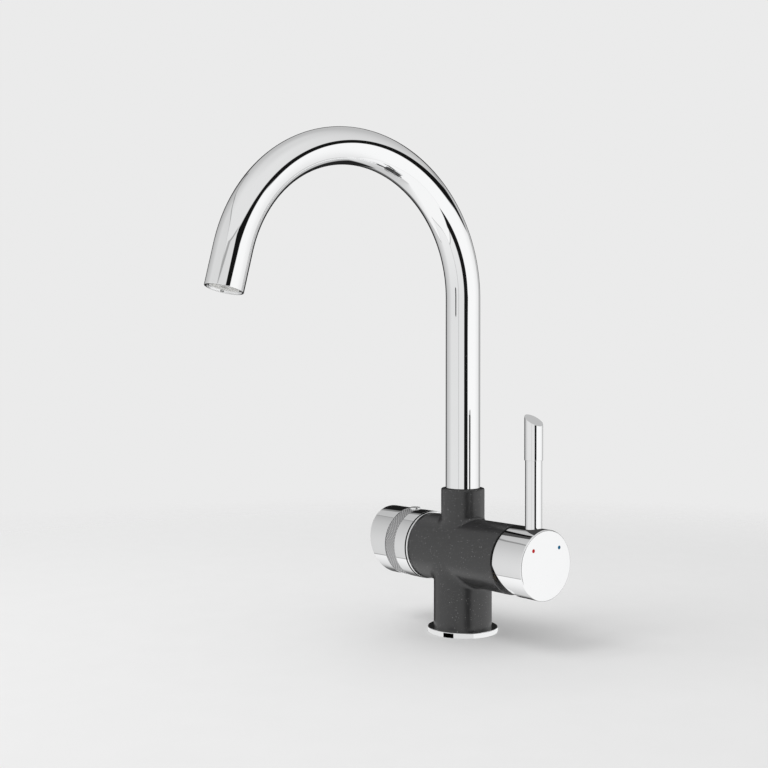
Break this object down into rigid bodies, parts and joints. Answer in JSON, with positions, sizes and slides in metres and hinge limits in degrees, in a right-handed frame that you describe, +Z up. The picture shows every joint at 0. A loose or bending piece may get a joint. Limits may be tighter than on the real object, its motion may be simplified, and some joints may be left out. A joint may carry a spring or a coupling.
{
  "type": "drinking water filter tap",
  "caption": "Kitchen mixer tap with a swan-neck spout, a side lever for mixed water and a knurled quarter-turn knob for filtered water, on a coated cross body.",
  "frame": {"origin": "column axis at the deck, in the plane of the base ring's underside", "axes": "+Z up along the column, +X along the cross barrel towards the lever, the spout reaches towards -Y"},
  "size_m": [0.1649, 0.2379, 0.3532],
  "materials": {
    "graphite_coat": "satin graphite coat with fine light specks, over brass",
    "chrome": "polished chrome plate",
    "brass": "machined brass",
    "rubber": "moulded black rubber",
    "white_acetal": "moulded white plastic",
    "ceramic": "lapped white ceramic",
    "steel": "stainless steel",
    "dark_acetal": "moulded dark plastic",
    "blue_acetal": "moulded blue plastic",
    "hot_red": "red enamel",
    "cold_blue": "blue enamel"
  },
  "bodies": {
    "tap_body": {"body_casting": "graphite_coat", "base_ring": "chrome", "base_gasket": "rubber", "inlet_block": "brass", "inlet_seals": "rubber", "upper_slip_ring": "dark_acetal", "lower_slip_washer": "white_acetal", "spout_screw": "steel", "filter_tube_seal": "rubber", "cartridge_base": "white_acetal", "cartridge_seals": "rubber", "cartridge_housing": "white_acetal", "fixed_disc": "ceramic", "cartridge_nut": "brass", "filter_trim_ring": "chrome", "valve_body": "brass", "valve_seat_seal": "rubber", "valve_fixed_disc": "ceramic"},
    "spout": {"spout_tube": "chrome", "spout_bush": "brass", "spout_seal_rings": "rubber", "filter_water_tube": "white_acetal", "aerator_sleeve": "chrome", "aerator_insert": "white_acetal", "aerator_washer": "rubber"},
    "carrier": {"cartridge_carrier": "blue_acetal", "spindle_pin": "steel"},
    "mixing_disc": {"moving_disc": "ceramic", "disc_driver": "white_acetal"},
    "lever": {"lever_spindle": "steel", "lever_cap": "chrome", "lever_set_screw": "steel", "lever_rod": "chrome", "lever_grip": "chrome", "hot_dot": "hot_red", "cold_dot": "cold_blue"},
    "knob": {"filter_knob": "chrome", "knob_peg": "chrome", "knob_set_screw": "steel", "valve_spindle": "brass", "valve_spindle_rings": "rubber", "valve_clip": "steel", "valve_moving_disc": "ceramic"}
  },
  "joints": [
    {"name": "spout_swivel", "type": "hinge", "parent": "tap_body", "child": "spout", "pos_m": [0, 0, 0.1], "axis": [0, 0, 1], "range_deg": [-150, 150]},
    {"name": "lever_turn", "type": "hinge", "parent": "tap_body", "child": "carrier", "pos_m": [0.047, 0, 0.0588], "axis": [1, 0, 0], "range_deg": [-45, 45]},
    {"name": "lever_tilt", "type": "hinge", "parent": "carrier", "child": "lever", "pos_m": [0.047, 0, 0.0588], "axis": [0, 1, 0], "range_deg": [0, 24]},
    {"name": "disc_slide", "type": "slide", "parent": "carrier", "child": "mixing_disc", "axis": [0, 0, 1], "range_m": [0, 0.0059]},
    {"name": "filter_turn", "type": "hinge", "parent": "tap_body", "child": "knob", "pos_m": [-0.05, 0, 0.0588], "axis": [1, 0, 0], "range_deg": [0, 90]}
  ],
  "couplings": [
    {"joint": "disc_slide", "follows": "lever_tilt", "m_per_rad": 0.014}
  ]
}
